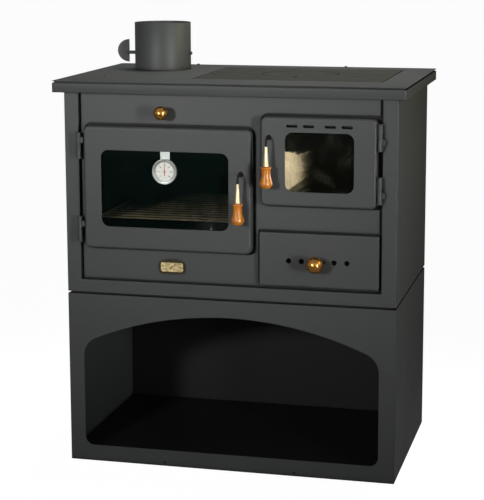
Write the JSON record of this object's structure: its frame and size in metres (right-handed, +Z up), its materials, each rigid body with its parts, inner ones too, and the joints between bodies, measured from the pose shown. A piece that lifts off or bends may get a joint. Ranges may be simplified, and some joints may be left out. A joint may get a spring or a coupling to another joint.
{
  "type": "wood cookstove",
  "caption": "Freestanding wood cookstove with an oven door, a firebox door, an ash drawer, a hob plate with a lid, a flue pipe and an open log store below.",
  "frame": {"origin": "on the floor, in the middle of the footprint", "axes": "+X to the viewer's right, the front faces -Y, +Z up"},
  "size_m": [0.766, 0.517, 0.958],
  "materials": {
    "casing_paint": "satin",
    "dark_paint": "matte",
    "cast_iron": "satin",
    "oven_enamel": "gloss",
    "door_glass": "gloss",
    "rope_seal": "matte",
    "badge_brass": "satin",
    "knob_copper": "polished",
    "ferrule_chrome": "polished",
    "gauge_steel": "brushed",
    "gauge_dial": "matte",
    "gauge_needle": "satin",
    "grip_wood": "gloss",
    "firebrick": "matte"
  },
  "bodies": {
    "root": {"base_front_panel": "casing_paint", "base_left_side": "casing_paint", "base_right_side": "casing_paint", "base_back_panel": "dark_paint", "base_floor_pan": "dark_paint", "base_top_panel": "dark_paint", "casing_front_frame": "casing_paint", "left_side_panel": "casing_paint", "right_side_panel": "casing_paint", "back_panel": "dark_paint", "body_floor_pan": "dark_paint", "fascia_panel": "casing_paint", "front_plate": "dark_paint", "hob_skirt": "casing_paint", "hob_top_plate": "casing_paint", "hob_cast_plate": "cast_iron", "flue_spigot": "casing_paint", "oven_upper_hinge_on_frame": "casing_paint", "oven_lower_hinge_on_frame": "casing_paint", "fire_upper_hinge_on_frame": "casing_paint", "fire_lower_hinge_on_frame": "casing_paint", "badge_plate": "badge_brass", "oven_liner": "oven_enamel", "oven_rack": "ferrule_chrome", "firebox_shell": "dark_paint", "fire_grate": "cast_iron", "firebrick_left": "firebrick", "firebrick_right": "firebrick", "firebrick_back": "firebrick", "gas_wall": "dark_paint"},
    "oven_door": {"oven_door_panel": "casing_paint", "oven_door_glass": "door_glass", "oven_door_inner_frame": "dark_paint", "oven_door_gasket": "rope_seal", "oven_upper_hinge_on_door": "casing_paint", "oven_lower_hinge_on_door": "casing_paint", "thermometer_strap": "gauge_steel", "thermometer_case": "gauge_steel", "thermometer_dial": "gauge_dial"},
    "thermometer_needle": {"thermometer_needle": "gauge_needle"},
    "oven_handle": {"oven_handle_rod": "dark_paint", "oven_handle_ferrule": "ferrule_chrome", "oven_handle_grip": "grip_wood"},
    "fire_door": {"fire_door_panel": "casing_paint", "fire_door_glass": "door_glass", "fire_door_inner_frame": "dark_paint", "fire_door_gasket": "rope_seal", "fire_upper_hinge_on_door": "casing_paint", "fire_lower_hinge_on_door": "casing_paint"},
    "fire_handle": {"fire_handle_rod": "dark_paint", "fire_handle_ferrule": "ferrule_chrome", "fire_handle_grip": "grip_wood"},
    "ash_drawer": {"ash_drawer_front": "casing_paint", "ash_pan": "dark_paint"},
    "air_slide": {"air_shutter": "dark_paint", "air_knob": "knob_copper"},
    "draft_pull": {"draft_rod": "dark_paint", "draft_knob": "knob_copper"},
    "flue_damper": {"flue_damper": "casing_paint"},
    "hob_lid": {"hob_lid": "cast_iron"}
  },
  "joints": [
    {"name": "oven_door_hinge", "type": "hinge", "parent": "root", "child": "oven_door", "pos_m": [-0.328, -0.2135, 0.62], "axis": [0, 0, -1], "range_deg": [0, 120]},
    {"name": "fire_door_hinge", "type": "hinge", "parent": "root", "child": "fire_door", "pos_m": [0.328, -0.2135, 0.69], "axis": [0, 0, 1], "range_deg": [0, 120]},
    {"name": "oven_handle_turn", "type": "hinge", "parent": "oven_door", "child": "oven_handle", "pos_m": [0.033, -0.22, 0.659], "axis": [0, 1, 0], "range_deg": [0, 90]},
    {"name": "fire_handle_turn", "type": "hinge", "parent": "fire_door", "child": "fire_handle", "pos_m": [0.094, -0.22, 0.7395], "axis": [0, -1, 0], "range_deg": [0, 90]},
    {"name": "thermometer_needle_turn", "type": "hinge", "parent": "oven_door", "child": "thermometer_needle", "pos_m": [-0.1345, -0.216, 0.6595], "axis": [0, 1, 0], "range_deg": [-135, 135]},
    {"name": "ash_drawer_slide", "type": "slide", "parent": "root", "child": "ash_drawer", "axis": [0, -1, 0], "range_m": [0, 0.28]},
    {"name": "air_slide", "type": "slide", "parent": "ash_drawer", "child": "air_slide", "axis": [1, 0, 0], "range_m": [-0.012, 0.012]},
    {"name": "draft_pull_slide", "type": "slide", "parent": "root", "child": "draft_pull", "axis": [0, -1, 0], "range_m": [0, 0.06]},
    {"name": "flue_damper_turn", "type": "hinge", "parent": "root", "child": "flue_damper", "pos_m": [-0.238, 0.1245, 0.887], "axis": [1, 0, 0], "range_deg": [0, 90]},
    {"name": "hob_lid_lift", "type": "slide", "parent": "root", "child": "hob_lid", "axis": [0, 0, 1], "range_m": [0, 0.06]}
  ]
}
